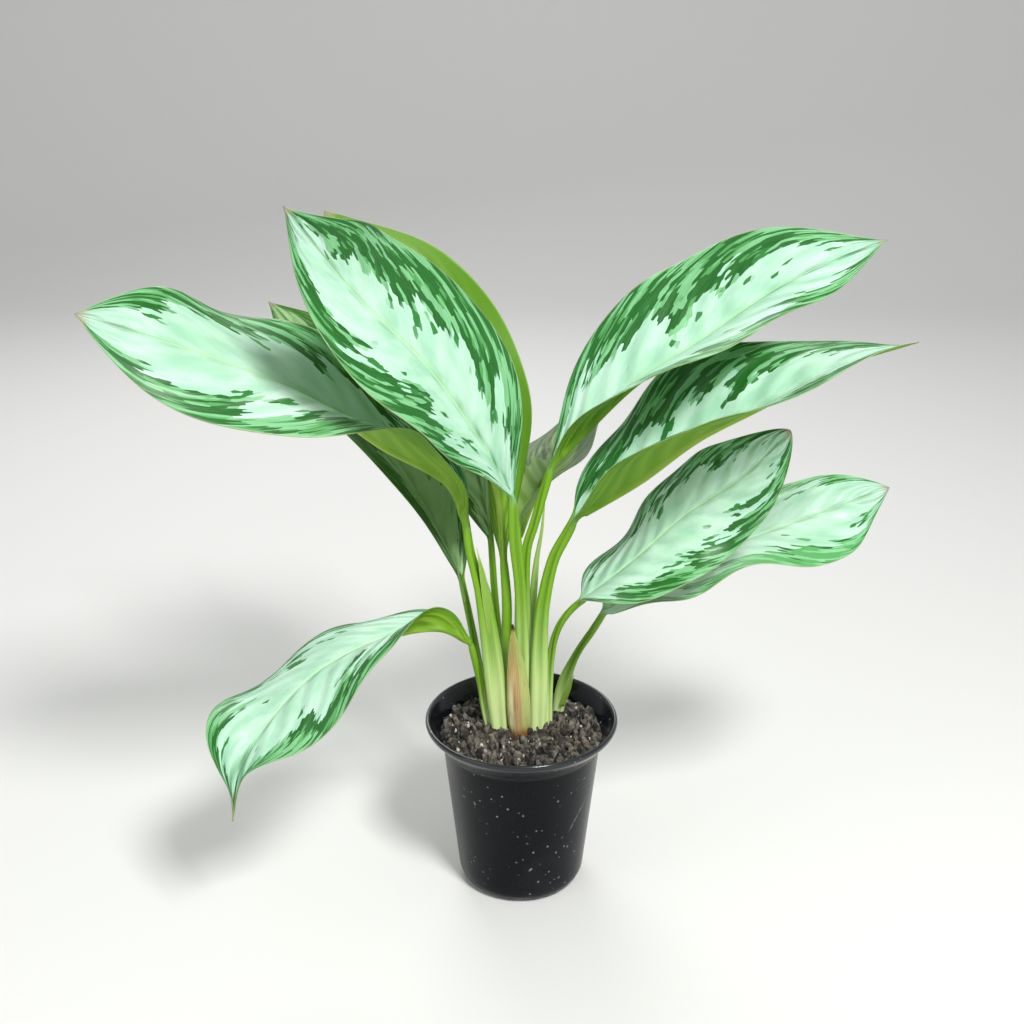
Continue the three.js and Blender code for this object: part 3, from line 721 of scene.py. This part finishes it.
# %% Leaf table
LEAVES = {
    "leaf_front_large": {
        "stalk": [(-1.5, -3.5, 96.3), (-1, -4, 134), (0, -5.5, 165), (-1, -7, 203), (-4, -10.5, 237),
                  (-6, -14, 265)],
        "foot": (0, -1, 0),
        "wide": [5.6, 5.6, 4.8, 3.8, 3.5, 4, 3.2],
        "thick": [2.6, 2.6, 2.6, 2.6, 2.6, 2.6, 2.4],
        "lean": [0, 0],
        "blade": [(-6, -14, 265), (-25, -26, 305), (-51, -46, 351), (-85, -71, 396), (-112, -102, 443)],
        "face": [(0.7, -0.7, 0.2), (0.9, -0.6, 0.3), (0.6, -0.7, -0.2)],
        "width": 47, "halves": (0.95, 1.1), "peak": 0.51, "full": 1.05, "rib_radius": 2.6,
        "wave": (2, 2.8, 0.07, 0.64),
        "fold": ([36, 24, 22, 6], [46, 28, 0, 22]),
        "curl": ([-8, -18, -14], [-6, -20, -14]),
    },
    "leaf_left_long": {
        "stalk": [(-13, -2.5, 96.3), (-15, -3, 122), (-17, -3.5, 145), (-20, -4, 170), (-25, -4, 200),
                  (-31, -3, 228), (-33, -3, 244)],
        "foot": (0, -1, 0),
        "wide": [4.8, 5.9, 6.4, 6.1, 5.5, 5, 3, 2.9],
        "thick": [3.6, 3.8, 3.8, 3.6, 3.4, 3, 2.8, 2.8],
        "lean": [0, 0.2, 0.3, 0.4, 0.8, 1.6, 0, 0],
        "blade": [(-33, -3, 244), (-42, -10, 271), (-79, -23, 299), (-116, -40, 333), (-166, -67, 364),
                  (-217, -96, 391)],
        "face": [(0.9, -0.3, 0.2), (0.7, -0.3, 0.7), (0.6, -0.6, 0.5)],
        "width": 46, "halves": (1.04, 1.01), "peak": 0.58, "full": 0.85, "rib_radius": 2.7,
        "wave": (6.2, 2.4, 0.59, 0.05),
        "fold": ([86, 64, 10, 4], [36, 20, 0, 20]),
        "curl": ([-10, -12, -10], [-10, -12, -18]),
    },
    "leaf_left_back": {
        "stalk": [(-15, 6.5, 96.3), (-19, 7.5, 115), (-24.5, 9.5, 134), (-31, 12, 170), (-37, 18, 199)],
        "foot": (0, -1, 0),
        "wide": [2.7, 2.7, 2.5, 2.3, 2.2],
        "thick": [2.6, 2.5, 2.4, 2.2, 2.1],
        "lean": [0, 0],
        "blade": [(-37, 18, 199), (-56, 33, 236), (-85, 57, 275), (-120, 84, 315), (-161, 112, 350)],
        "face": [(0.7, -0.5, 0.5), (0.5, -0.4, 0.7), (-0.1, -0.8, 0.6)],
        "width": 39, "halves": (0.97, 1.04), "peak": 0.47, "full": 0.96, "rib_radius": 2.1,
        "wave": (2.4, 2.1, 0.07, 0.55),
        "fold": ([32, 32, 12, 18], [30, 20, 22, 18]),
        "curl": ([-8, -10, -12], [-12, -10, -10]),
    },
    "leaf_centre_young": {
        "stalk": [(-6.3, 2.6, 96.3), (-7.6, 2.7, 120), (-9.4, 2.1, 160), (-9, 0.9, 190), (-11, 1, 221)],
        "foot": (0, 1, 0),
        "wide": [3, 3.2, 3.2, 3, 2.6],
        "thick": [2.8, 2.8, 2.8, 2.6, 2.4],
        "lean": [0, 0],
        "blade": [(-11, 1, 221), (-16, 3, 267), (-38, 5, 320), (-68, 8, 374), (-109, 12, 423)],
        "face": [(0, 1, 0), (0.3, 1, 0.1), (-0.3, 0.9, -0.4)],
        "width": 40.5, "halves": (1.05, 0.98), "peak": 0.55, "full": 0.83, "rib_radius": 2.4,
        "wave": (5.3, 2.6, 0.81, 0.76),
        "fold": ([52, 38, 22, 20], [48, 64, 22, 20]),
        "curl": ([0, -2, -10], [4, -2, -14]),
    },
    "leaf_back_left": {
        "stalk": [(-8, 10.5, 96.3), (-10, 12, 125), (-13, 16, 150), (-16, 22, 178), (-19, 31, 221)],
        "foot": (0, -1, 0),
        "wide": [2.7, 2.6, 2.4, 2.2, 2.1],
        "thick": [2.6, 2.5, 2.3, 2.2, 2],
        "lean": [0, 0],
        "blade": [(-19, 31, 221), (-25, 45, 252), (-35, 64, 290), (-50, 84, 327), (-70, 102, 362)],
        "face": [(-0.4, -0.9, 0.2), (-0.4, -0.9, 0.3), (0.1, -0.8, 0.6)],
        "width": 30, "halves": (0.96, 1), "peak": 0.51, "full": 0.85, "rib_radius": 2,
        "wave": (3.7, 2.8, 0.29, 0.79),
        "fold": ([34, 24, 20, 16], [36, 46, 18, 16]),
        "curl": ([-14, -12, -12], [-6, -6, -12]),
    },
    "leaf_low_drooping": {
        "stalk": [(-18.5, 2, 96.3), (-22.5, 1.5, 116), (-25, 1, 134), (-29, -1, 155), (-31, -2, 165)],
        "foot": (0, -1, 0),
        "wide": [2.7, 2.6, 2.5, 2.4, 2.3],
        "thick": [2.6, 2.5, 2.4, 2.3, 2.2],
        "lean": [0, 0],
        "blade": [(-31, -2, 165), (-49, -9, 178), (-84, -23, 178), (-119, -38, 165), (-146, -59, 143),
                  (-161, -77, 121), (-163, -96, 101)],
        "face": [(0.5, 0.5, 0.7), (-0.4, -0.3, 0.9), (0, -0.7, 0.6)],
        "width": 38, "halves": (0.96, 1.09), "peak": 0.53, "full": 0.88, "rib_radius": 2.2,
        "wave": (5.1, 2.1, 0.3, 0.31),
        "fold": ([108, 24, 10, 70], [66, 12, 2, 86]),
        "curl": ([-4, -34, 18], [-10, -32, 24]),
    },
    "leaf_back_right": {
        "stalk": [(-1, 11.5, 96.3), (-2, 12.5, 142), (-2, 15, 172), (-2, 18, 200), (-2, 22, 223)],
        "foot": (0, -1, 0),
        "wide": [2.7, 2.6, 2.4, 2.2, 2.1],
        "thick": [2.6, 2.5, 2.3, 2.2, 2],
        "lean": [0, 0],
        "blade": [(-2, 22, 223), (7, 43, 239), (22, 71, 255), (40, 101, 269), (58, 132, 284)],
        "face": [(-0.7, -0.2, 0.7), (-0.5, -0.2, 0.9), (-0.2, -0.3, 0.9)],
        "width": 32, "halves": (0.99, 1), "peak": 0.37, "full": 0.84, "rib_radius": 2,
        "wave": (1.4, 2.2, 0.17, 0.65),
        "fold": ([36, 30, 14, 18], [56, 18, 32, 20]),
        "curl": ([-12, -16, -14], [-4, -12, -12]),
    },
    "leaf_right_top": {
        "stalk": [(4, 4.5, 96.3), (4, 4.5, 129), (3, 4.5, 164), (2, 4, 200), (3, 3.5, 226), (7, 4, 240),
                  (13.5, 5, 264), (18, 6, 278)],
        "foot": (0, -1, 0),
        "wide": [3, 3, 3, 3, 2.9, 2.8],
        "thick": [2.8, 2.8, 2.7, 2.7, 2.7, 2.7],
        "lean": [0, 0],
        "blade": [(18, 6, 278), (36, 5, 298), (65, 6, 327), (102, 5, 353), (148, 4, 386), (199, 2, 409)],
        "face": [(-0.6, -0.6, 0.5), (-0.4, -0.6, 0.6), (-0.3, -0.8, 0.5)],
        "width": 48.5, "halves": (1.03, 1.01), "peak": 0.49, "full": 1.06, "rib_radius": 2.7,
        "wave": (1.9, 3.1, 0.94, 0),
        "fold": ([26, 16, 10, 18], [88, 58, 48, 12]),
        "curl": ([-6, -8, -6], [-6, -14, -8]),
    },
    "leaf_right_upper": {
        "stalk": [(10.2, -1.5, 96.3), (11, -1.5, 132), (11.5, -2, 167), (13, -2.5, 191), (19, -3, 222),
                  (26, -4, 237), (32, -4, 249)],
        "foot": (0, -1, 0),
        "wide": [4.9, 5.4, 5.1, 4.2, 3.6, 3.4],
        "thick": [3.4, 3.6, 3.4, 3.2, 3, 3],
        "lean": [-0.2, -0.4, -0.4, -0.2, 0, 0],
        "blade": [(32, -4, 249), (67, -12, 274), (98, -21, 302), (132, -34, 326), (165, -48, 351),
                  (202, -64, 369)],
        "face": [(-0.5, -0.7, 0.4), (-0.6, -0.6, 0.5), (-0.2, 0.2, 1)],
        "width": 43, "halves": (1, 1), "peak": 0.41, "full": 0.72, "rib_radius": 3,
        "wave": (7.2, 2.1, 0.3, 0.01),
        "fold": ([16, 8, 18, -2], [84, 96, 42, 18]),
        "curl": ([-36, -2, -18], [-22, -12, -12]),
    },
    "leaf_right_lower": {
        "stalk": [(16.8, 3.5, 96.3), (17, 3.5, 130), (18, 3, 152), (20, 2, 166), (24, 0, 178),
                  (31, -2, 189), (37, -4, 195)],
        "foot": (0, -1, 0),
        "wide": [2.7, 2.6, 2.5, 2.3, 2.2],
        "thick": [2.6, 2.5, 2.4, 2.2, 2.1],
        "lean": [0, 0],
        "blade": [(37, -4, 195), (66, -8, 223), (94, -11, 252), (124, -18, 278), (149, -23, 308)],
        "face": [(-0.7, 0, 0.8), (-0.5, -0.6, 0.5), (-0.5, -0.8, 0.2)],
        "width": 35.5, "halves": (0.97, 1.05), "peak": 0.35, "full": 0.6, "rib_radius": 2.1,
        "wave": (5.8, 2.1, 0.53, 0.39),
        "fold": ([30, -12, 16, 8], [30, 8, 0, 8]),
        "curl": ([-18, -20, -18], [-6, -20, -20]),
    },
    "leaf_right_lowest": {
        "stalk": [(22.5, 23, 90.3), (25.7, 22, 119), (29.6, 21, 134), (35, 20, 147), (44.6, 18, 164),
                  (51, 16, 177)],
        "foot": (0, -1, 0),
        "wide": [3.6, 3.9, 3.9, 2.5, 2.4, 2.4],
        "thick": [3.4, 3.5, 3.3, 2.4, 2.3, 2.3],
        "lean": [0, 0, 0.4, 0, 0],
        "blade": [(51, 16, 177), (83, 19, 198), (127, 21, 219), (175, 27, 236), (225, 36, 252)],
        "face": [(-0.5, -0.2, 0.8), (-0.4, -0.1, 1), (0, -0.8, 0.4)],
        "width": 46, "halves": (0.96, 1.14), "peak": 0.43, "full": 0.78, "rib_radius": 2.3,
        "wave": (4.1, 2.8, 0.62, 0.98),
        "fold": ([20, 16, 6, 4], [24, 16, 18, -6]),
        "curl": ([-12, -16, -18], [-4, -16, -20]),
    },
}

print("leaves in the table:", len(LEAVES))

# %% [markdown]
# ## Leaf finish
# The blade is silver-mint in the middle and green along the margins. The green comes in small
# patches between the side veins, so it breaks inwards in jagged steps. It could be painted, but
# worked out it is sharp at every size and different on each leaf. A mosaic of cells is laid in
# vein coordinates: one number is the same all along a side vein, the other runs from the midrib
# to the margin. Noise that is read once for each cell decides where green starts, and which of
# three greens the cell takes. The under side is yellow-green with a faint echo of the mosaic,
# and the stalk turns from cream at its foot to green.

# %% Leaf finish
STALK_END = 0.25
CELLS_ALONG = 70.0
CELLS_OUT = 17.0
VEIN_STEP = 0.05
VEIN_LEAN = 0.17
VEIN_BEND = 0.2
HALF_SHIFT = 61.0
LEAF_SHIFT = 37.0


def leaf_paint(name, seed, left, right, dark, warm):
    """A leaf's finish. left and right say how far green comes in on each half, at the base,
    the middle and the tip, dark how deep the greens are, and warm how far painted shade turns it olive."""
    leaf = Finish(name)
    u, v = leaf.growth()

    # s runs along the blade, t across it from edge to edge, and a from the midrib to an edge
    s = (u - STALK_END) / (1 - STALK_END)
    under = v.over(0.4995, 0.5005)
    t = 1 - 4 * abs(v - 0.5)
    a = abs(t)
    on_right = t.over(-0.001, 0.001)
    vein = s - VEIN_LEAN * a - VEIN_BEND * a**3

    # every half of every leaf starts at a place of its own in the mosaic
    offset = on_right * HALF_SHIFT + seed * LEAF_SHIFT
    grid = leaf.join(vein * CELLS_ALONG + offset, a * CELLS_OUT)
    inputs = {"Vector": grid, "Scale": 1.0, "Randomness": 0.9}
    mosaic = ("ShaderNodeTexVoronoi", {"voronoi_dimensions": "2D"}, inputs)
    x, y, _ = leaf.split(leaf.node(*mosaic, out="Position"))
    chance, _, _ = leaf.split(leaf.node(*mosaic, out="Color"))

    def by_cell(along, outward, layer, detail=1.0):
        """Noise that keeps one value all over a cell."""
        return leaf.grain(leaf.join(x * along, y * outward, layer), 1.0, detail)

    def reach(base, middle, tip):
        """A smooth change along the blade through three values."""
        return base + s * (4 * middle - 3 * base - tip) + s * s * (2 * base + 2 * tip - 4 * middle)

    patch = by_cell(0.11, 0.1, 0.0)
    jag = by_cell(0.36, 0.3, 4.0)
    tone = by_cell(0.3, 0.26, 8.0, 2.0) + (chance - 0.5) * 0.1
    thread = leaf.grain(leaf.join(vein * 150.0 + offset, a * 9.0), 1.0, 2.0)

    # depth is how far a cell lies outside the line where its half turns green
    green = reach(*left) + (reach(*right) - reach(*left)) * on_right
    inner = 1.0 - green + (0.5 - patch) * 1.05 + (0.5 - jag) * 0.5
    depth = y / CELLS_OUT - inner
    zone = depth.over(-0.006, 0.006)
    stray = by_cell(0.3, 0.24, 12.0).over(0.63, 0.64)
    stray = stray * (depth + 0.25).over(0.0, 0.04) * (1 - zone)
    brink = (0.12 - abs(depth - 0.06)).over(0.0, 0.1)
    deep = (tone + brink * 0.06).over(0.56 - 0.08 * dark, 0.575 - 0.08 * dark)
    light = (1 - tone).over(0.535, 0.55)

    # the side veins stand up as ribs towards the midrib
    fold = leaf.node("ShaderNodeMath", {"operation": "PINGPONG"}, {0: vein, 1: VEIN_STEP})
    ridge = 1 - fold.over(0.0, VEIN_STEP)
    ribbed = ridge * (1 - a.over(0.35, 0.95)) * a.over(0.0, 0.1)
    cloud = leaf.grain(leaf.join(vein * 13.0, a * 3.0, seed), 1.0, 3.0)

    silver = leaf.mix(cloud.over(0.3, 0.7), colour(0x9ACBAC), colour(0xBFE1CC))
    silver = leaf.mix(ribbed * 0.3, silver, colour(0xB6E3BE))
    greens = leaf.mix(deep, colour(0x5CA660), colour(0x1B5C1C))
    greens = leaf.mix(light, greens, colour(0x8ACB93))
    greens = leaf.mix(thread.over(0.35, 0.7) * 0.35, greens, colour(0x3C8C40))
    greens = leaf.mix(dark * 0.25, greens, colour(0x185214))
    upper = leaf.mix(zone, silver, greens)
    upper = leaf.mix(stray, upper, colour(0x2E7A36))
    midrib = 1 - a.over(0.012, 0.1 - 0.06 * s)
    upper = leaf.mix(midrib * 0.5, upper, colour(0xBBE8B2))
    # painted shade: warm tints the upper side olive and darker, as on leaves that stood in shade
    upper = leaf.mix(warm, upper, leaf.mix(zone, colour(0x7FA63C), colour(0x3F6A0C)))
    lower = leaf.mix(zone * 0.45 + thread * 0.2, colour(0x6C9A14), colour(0x3F7608))
    lower = leaf.mix(ribbed * 0.2 + midrib * 0.75, lower, colour(0xA9C850))
    blade = leaf.mix(under, upper, lower)
    blade = leaf.mix(a.over(0.98, 0.993) * 0.45, blade, colour(0xB3C48C))
    blade = leaf.mix(s.over(0.965, 0.995) * 0.7, blade, colour(0xBDB096))

    fibres = leaf.grain(leaf.join(u * 6.0, v * 60.0, seed), 1.0, 2.0)
    grown = u.over(0.01, 0.17)
    stalk = leaf.mix(grown, colour(0xDFF5A8), colour(0x74A415))
    # painted shade: the channel along the stalk's upper side is drawn darker, where shade lies in it
    channel = (1 - a.over(0.1, 0.5)) * (1 - under) * u.over(0.06, 0.12)
    stalk = leaf.mix(fibres.over(0.42, 0.72) * (0.1 + grown * 0.25), stalk, colour(0x5A8A14))
    stalk = leaf.mix(channel * 0.45, stalk, colour(0x4E7C10))
    base = leaf.mix(u.over(0.238, 0.268), stalk, blade)
    height = a.over(0.0, 0.03) * 0.3 + ribbed + thread * 0.1 - zone * 0.04
    return leaf.surface(
        Base_Color=base,
        Roughness=0.36 + thread * 0.12 + under * 0.14,
        Specular_IOR_Level=0.4,
        Normal=leaf.bump(height * u.over(0.25, 0.3), 0.7, 0.0016),
    )


# seed, the green's reach on the left and the right half, how dark it is, and how far painted shade turns it
# olive
PATTERNS = {
    "leaf_front_large": (1, (0.1, 0.4, 0.3), (0.14, 0.64, 0.66), 0.8, 0),
    "leaf_left_long": (2, (0.12, 0.36, 0.3), (0.5, 0.42, 0.4), 0.5, 0),
    "leaf_left_back": (3, (0.45, 0.5, 0.4), (0.4, 0.5, 0.4), 1, 0.65),
    "leaf_centre_young": (4, (0.3, 0.4, 0.4), (0.3, 0.4, 0.4), 0.5, 0),
    "leaf_back_left": (5, (0.4, 0.5, 0.4), (0.4, 0.5, 0.4), 1, 0.7),
    "leaf_low_drooping": (6, (0.15, 0.42, 0.5), (0.08, 0.24, 0.4), 0.6, 0),
    "leaf_back_right": (7, (0.3, 0.45, 0.4), (0.3, 0.45, 0.4), 0.5, 0.95),
    "leaf_right_top": (8, (0.24, 0.52, 0.3), (0, 0.24, 0.34), 0.6, 0),
    "leaf_right_upper": (9, (0.5, 0.55, 0.3), (0, 0.2, 0.2), 1, 0),
    "leaf_right_lower": (10, (0.3, 0.42, 0.34), (0.1, 0.38, 0.34), 0.7, 0),
    "leaf_right_lowest": (11, (0.05, 0.18, 0.24), (0.12, 0.32, 0.3), -0.4, 0),
}
print("leaves with a pattern:", len(PATTERNS))

# %% Grow the leaves
STALK_ROWS = 44
BLADE_ROWS = 150
NECK_ROWS = range(STALK_ROWS - 5, STALK_ROWS + 6)
# Shares of the stalk: how far up it stands straight, and where it starts to close to the midrib.
STRAIGHT_UP = 0.125
NECK = 0.875
# The channel's depth as a share of the stalk's, how fast it fades at the top, and how much
# closer the blade's rows stand at its base and tip.
CHANNEL_DEPTH = 0.55
CHANNEL_FADE = 5
END_CROWDING = 0.06


def leaf_rows(leaf):
    """Rows of points from the foot to the tip, each with its share of the whole leaf."""
    faces = [Vector(f).normalized() for f in leaf["face"]]
    foot = Vector(leaf["foot"])
    rows = []
    neck = [blend(leaf[key], NECK) for key in ("wide", "thick", "lean")]
    for s, middle, ahead in stations(leaf["stalk"], even(STALK_ROWS)[:-1]):
        ahead = Vector((0, 0, 1)).lerp(ahead, min(1, s / STRAIGHT_UP)).normalized()
        wide, thick, lean = (blend(leaf[key], min(s, NECK)) for key in ("wide", "thick", "lean"))
        close = max(0, (s - NECK) / (1 - NECK))
        wide += (leaf["rib_radius"] - neck[0]) * close
        thick += (leaf["rib_radius"] - neck[1]) * close
        lean -= neck[2] * close
        face = foot.lerp(faces[0], s * s)
        groove = CHANNEL_DEPTH * min(1, (1 - s) * CHANNEL_FADE)
        row = stalk_row((s, middle, ahead), face, wide, thick, lean, groove)
        rows.append((s * STALK_END, row))
    spread = [u - END_CROWDING * math.sin(math.tau * u) for u in even(BLADE_ROWS)]
    for s, middle, ahead in stations(leaf["blade"], spread):
        face = Vector([blend([f[k] for f in faces], s) for k in range(3)])
        row = blade_row((s, middle, ahead), face, leaf)
        rows.append((STALK_END + s * (1 - STALK_END), row))
    return rows


for name, leaf in LEAVES.items():
    piece = leaf_body("dressed_" + name, leaf_rows(leaf), NECK_ROWS)
    piece.data.materials.append(leaf_paint(name, *PATTERNS[name]))
    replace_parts(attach(piece, "root"), name)
    print(name, len(piece.data.polygons))

# %% [markdown]
# ## Sheath tips
# A stalk's sheath ends in a thin pointed flap that stands free beside the stalk. Three show: one
# on the long left leaf, one behind it and one on the offshoot. Each is a narrow thin body from
# the same kind of rows. Its lower end lies against its stalk and its point stands free.

# %% Sheath tips
TIP_ROWS = 30
TIP_HALF = 0.35
SHEATH_TIPS = {
    "sheath_tip_left_long": {
        "line": [(-18.2, -4.4, 172), (-20.4, -5.4, 192), (-23.4, -6.3, 212), (-26.6, -6.6, 230)],
        "wide": [2.2, 3, 2, 0.25],
        "face": (0.5, -0.9, 0.1),
    },
    "sheath_tip_left_back": {
        "line": [(-34.6, 12.8, 186), (-36.6, 12.2, 196), (-38.9, 11.8, 207.5)],
        "wide": [0.9, 1.3, 0.2],
        "face": (-0.6, -0.8, 0.1),
    },
    "sheath_tip_offshoot": {
        "line": [(26.4, 18.6, 110), (29.6, 18.2, 121), (33.2, 18.4, 132)],
        "wide": [1.8, 2, 0.25],
        "face": (0.5, -0.9, 0.1),
    },
}
print("sheath tips in the table:", len(SHEATH_TIPS))

# %% Sheath tip finish
membrane = Finish("sheath_membrane")
u, v = membrane.growth()
fibres = membrane.grain(membrane.join(u * 5.0, v * 40.0), 1.0, 2.0)
green = membrane.mix(fibres, colour(0x6F9826), colour(0x8FB64C))
rim = abs(1 - 4 * abs(v - 0.5)).over(0.8, 0.98) * 0.7
membrane_paint = membrane.surface(
    Base_Color=membrane.mix(u.over(0.8, 0.98) * 0.8 + rim * 0.5, green, colour(0xD3C5A8)),
    Roughness=0.5,
    Normal=membrane.bump(fibres, 0.2, 0.0005),
)
print("finish:", membrane_paint.name)

# %% Grow the sheath tips
for name, tip in SHEATH_TIPS.items():
    rows = []
    face = Vector(tip["face"])
    for station in stations(tip["line"], even(TIP_ROWS)):
        s = station[0]
        rows.append((s, stalk_row(station, face, blend(tip["wide"], s), TIP_HALF, 0, 0)))
    piece = leaf_body(name, rows)
    piece.data.materials.append(membrane_paint)
    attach(piece, "root")
    print(name, len(piece.data.polygons))

# %% [markdown]
# ## The new leaf and the dry sheath
# Between the stalks stands the newest leaf, still rolled to a point. In front of them a lost
# leaf has left its sheath, dried to tan paper. Both are made from rows as the leaves are.

# %% New leaf
FRONT = Vector((0, -1, 0))
SPEAR_ROWS = 60
SPEAR = {
    "line": [(6, 11, 96.3), (6, 11, 125), (6.5, 11, 160), (7.2, 11, 191), (9, 12, 214), (12, 13, 233),
             (13.5, 14, 251)],
    "wide": [2.4, 2.6, 2.7, 2.5, 2.2, 1.2, 0.5],
    "thick": [2.3, 2.4, 2.4, 2.2, 1.9, 1, 0.5],
    "groove": 0.25,
}
rows = []
for station in stations(SPEAR["line"], even(SPEAR_ROWS)):
    s = station[0]
    wide, thick = blend(SPEAR["wide"], s), blend(SPEAR["thick"], s)
    rows.append((s, stalk_row(station, FRONT, wide, thick, 0, SPEAR["groove"])))
spear = leaf_body("rolled_new_leaf", rows)
print("new leaf:", len(spear.data.polygons))

# %% New leaf finish
rolled = Finish("new_leaf")
u, v = rolled.growth()
seam = rolled.grain(rolled.join(u * 5.0, v * 30.0), 1.0, 2.0)
spear.data.materials.append(rolled.surface(
    Base_Color=rolled.mix(seam, colour(0x7FA93C), colour(0xB0CE78)),
    Roughness=0.42,
    Normal=rolled.bump(seam, 0.2, 0.0006),
))
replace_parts(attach(spear, "root"), "new_leaf_spear")
print("new leaf dressed")

# %% Dry sheath
SHEATH_ROWS = 70
PAPER_HALF = 0.32
CREASE = 0.22
SHEATH = {
    "line": [(-0.4, -9.3, 96.6), (-1.2, -9.8, 112), (-2, -10.2, 130), (-3.1, -10.4, 150),
             (-4.7, -10.6, 168), (-5.5, -11, 182)],
    "half": [6.2, 8, 7.9, 6.4, 3.6, 0.6],
    "bend": [58, 50, 48, 44, 34, 6],
}
rows = []
for s, middle, ahead in stations(SHEATH["line"], even(SHEATH_ROWS)):
    up, side = facing(ahead, FRONT)
    angle = math.radians(blend(SHEATH["bend"], s))
    radius = blend(SHEATH["half"], s) / angle
    row = []
    for under in (False, True):
        for j in range(WIDTH_COLUMNS):
            c = -math.cos(SWEEP[WIDTH_COLUMNS - 1 - j] if under else SWEEP[j])
            crease = CREASE * noise.noise(Vector((c * 5, s * 9, 1.7)))
            depth = crease + (-PAPER_HALF if under else PAPER_HALF) * (1 - 0.5 * c * c)
            x = (radius + depth) * math.sin(c * angle)
            z = (radius + depth) * math.cos(c * angle) - radius
            row.append((middle + side * x + up * z, c))
    rows.append((s, row))
sheath = leaf_body("papery_sheath", rows)
print("dry sheath:", len(sheath.data.polygons))

# %% [markdown]
# ## Dry sheath finish
# The dried sheath is tan with fine fibres, brown at its foot and nearly black at its point. Its
# right half, its left margin and its upper part are still a little green, and the pale cream streak
# that runs up low on the left is a painted highlight. Each tint is a mask from the shares along and
# across the sheath, laid over the one before.

# %% Dry sheath finish
dry = Finish("dry_sheath")
u, v = dry.growth()
fibres = dry.grain(dry.join(u * 4.0, v * 90.0), 1.0, 3.0)
blotch = dry.grain(dry.join(u * 7.0, v * 8.0), 1.0, 4.0)
t = 1 - 4 * abs(v - 0.5)
tan = dry.mix(fibres.over(0.3, 0.7), colour(0xB08A50), colour(0xDFC48E))
# painted highlight: a pale cream streak up the lower left of the sheath
tan = dry.mix((1 - abs(t + 0.6).over(0.06, 0.3)) * (1 - u.over(0.4, 0.62)), tan, colour(0xF1ECB6))
tan = dry.mix(t.over(0.1, 0.35) * 0.85, tan, colour(0xC0CF7C))
tan = dry.mix((1 - t.over(-1.0, -0.8)) * 0.8, tan, colour(0xA4BF5E))
tan = dry.mix((1 - (u + fibres * 0.16).over(0.17, 0.27)) * 0.95, tan, colour(0x8C4E12))
tan = dry.mix((u + t * 0.12).over(0.5, 0.8) * 0.4, tan, colour(0x86A23C))
tan = dry.mix(u.over(0.93, 0.98), tan, colour(0x3A2A12))
sheath.data.materials.append(dry.surface(
    Base_Color=dry.mix(blotch.over(0.55, 0.75) * 0.3, tan, colour(0x8E6530)),
    Roughness=0.7,
    Specular_IOR_Level=0.3,
    Normal=dry.bump(fibres, 0.7, 0.001),
))
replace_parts(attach(sheath, "root"), "dry_sheath")
print("dry sheath dressed")

# %% [markdown]
# ## Crown
# The buried stem stock can't be seen, but it keeps its solid and gets a fibrous brown finish.

# %% Crown finish
stock = Finish("crown_fibre")
fibres = stock.grain(stock.place(), 300.0, 4.0, 0.7)
crown_paint = stock.surface(
    Base_Color=stock.mix(fibres.over(0.3, 0.7), colour(0x4A3420), colour(0x8A6A3E)),
    Roughness=0.85,
    Normal=stock.bump(fibres, 0.5, 0.001),
)
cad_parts["crown"].data.materials.clear()
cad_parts["crown"].data.materials.append(crown_paint)
print("crown dressed")
